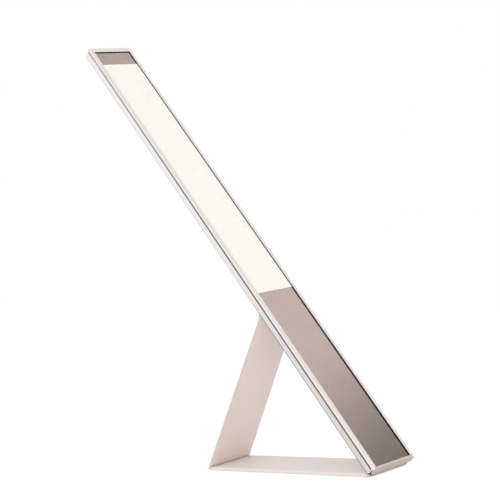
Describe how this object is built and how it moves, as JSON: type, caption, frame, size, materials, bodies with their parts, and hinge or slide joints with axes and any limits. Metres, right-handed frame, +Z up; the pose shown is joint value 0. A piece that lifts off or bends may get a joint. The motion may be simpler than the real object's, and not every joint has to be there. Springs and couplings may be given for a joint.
{
  "type": "desk lamp",
  "caption": "Slim bar-shaped LED panel lamp leaning on a hinged leaf and a narrow base plate; it folds flat.",
  "frame": {"origin": "middle of the open lamp's bounding box, on the table", "axes": "+X from the fold of the stand towards the panel's foot, +Y to the side with the button and the charging socket, +Z up"},
  "size_m": [0.2414, 0.04, 0.3295],
  "materials": {
    "shell_aluminium": "fine bead-blasted, clear anodised",
    "frame_aluminium": "satin, clear anodised",
    "seam_rubber": "matte",
    "bronze_glass": "polished",
    "mirror_print": "bronze half-mirror print",
    "copper_foil": "laminated foil",
    "diffuser_acrylic": "opal, lit",
    "guide_acrylic": "clear, polished edges",
    "reflector_film": "white film",
    "spreader_aluminium": "mill finish",
    "bar_board": "white solder mask",
    "led_phosphor": "phosphor gel",
    "flex_polyimide": "amber polyimide",
    "chassis_plastic": "moulded, glass-filled",
    "pouch_foil": "laminated pouch foil",
    "foam": "closed-cell foam",
    "lead_insulation": "silicone insulation",
    "board_laminate": "green solder mask",
    "chip_epoxy": "moulded epoxy",
    "socket_steel": "nickel-plated",
    "tongue_plastic": "moulded",
    "switch_steel": "plated",
    "plunger_plastic": "moulded",
    "button_aluminium": "satin, clear anodised",
    "screw_steel": "zinc-plated",
    "hinge_paint": "matte powder coat",
    "pin_steel": "ground",
    "bracket_steel": "pressed",
    "leaf_paint": "matte powder coat",
    "magnet_nickel": "nickel-plated",
    "base_paint": "matte powder coat",
    "pad_silicone": "soft silicone"
  },
  "bodies": {
    "base": {"base_plate": "base_paint", "base_magnets": "magnet_nickel", "base_pad": "pad_silicone", "foot_hinge_pin": "pin_steel"},
    "panel": {"back_shell": "shell_aluminium", "front_frame": "frame_aluminium", "frame_gasket": "seam_rubber", "cover_glass": "bronze_glass", "mirror_film": "mirror_print", "touch_foil": "copper_foil", "diffuser_sheet": "diffuser_acrylic", "light_guide": "guide_acrylic", "reflector_sheet": "reflector_film", "heat_spreader": "spreader_aluminium", "led_boards": "bar_board", "leds": "led_phosphor", "light_flex": "flex_polyimide", "chassis": "chassis_plastic", "battery_cell": "pouch_foil", "battery_foam": "foam", "battery_leads": "lead_insulation", "driver_board": "board_laminate", "board_parts": "chip_epoxy", "usb_socket": "socket_steel", "usb_tongue": "tongue_plastic", "tact_switch": "switch_steel", "case_screws": "screw_steel", "foot_hinge_plate": "hinge_paint", "leaf_bracket": "bracket_steel", "bracket_screws": "screw_steel", "leaf_hinge_pin": "pin_steel"},
    "leaf": {"support_leaf": "leaf_paint", "leaf_magnets": "magnet_nickel"},
    "button": {"power_button": "button_aluminium", "switch_plunger": "plunger_plastic"}
  },
  "joints": [
    {"name": "panel_fold", "type": "hinge", "parent": "base", "child": "panel", "pos_m": [0.11207, 0, 0.0016], "axis": [0, -1, 0], "range_deg": [0, 52.5]},
    {"name": "leaf_fold", "type": "hinge", "parent": "panel", "child": "leaf", "pos_m": [0.03258, 0, 0.11102], "axis": [0, 1, 0], "range_deg": [0, 105]},
    {"name": "power_button_press", "type": "slide", "parent": "panel", "child": "button", "axis": [0, -1, 0], "range_m": [0, 0.0004], "stiffness_N_per_m": 2500, "springref_m": -0.0003}
  ],
  "couplings": [
    {"joint": "leaf_fold", "follows": "panel_fold", "ratio": 2}
  ]
}
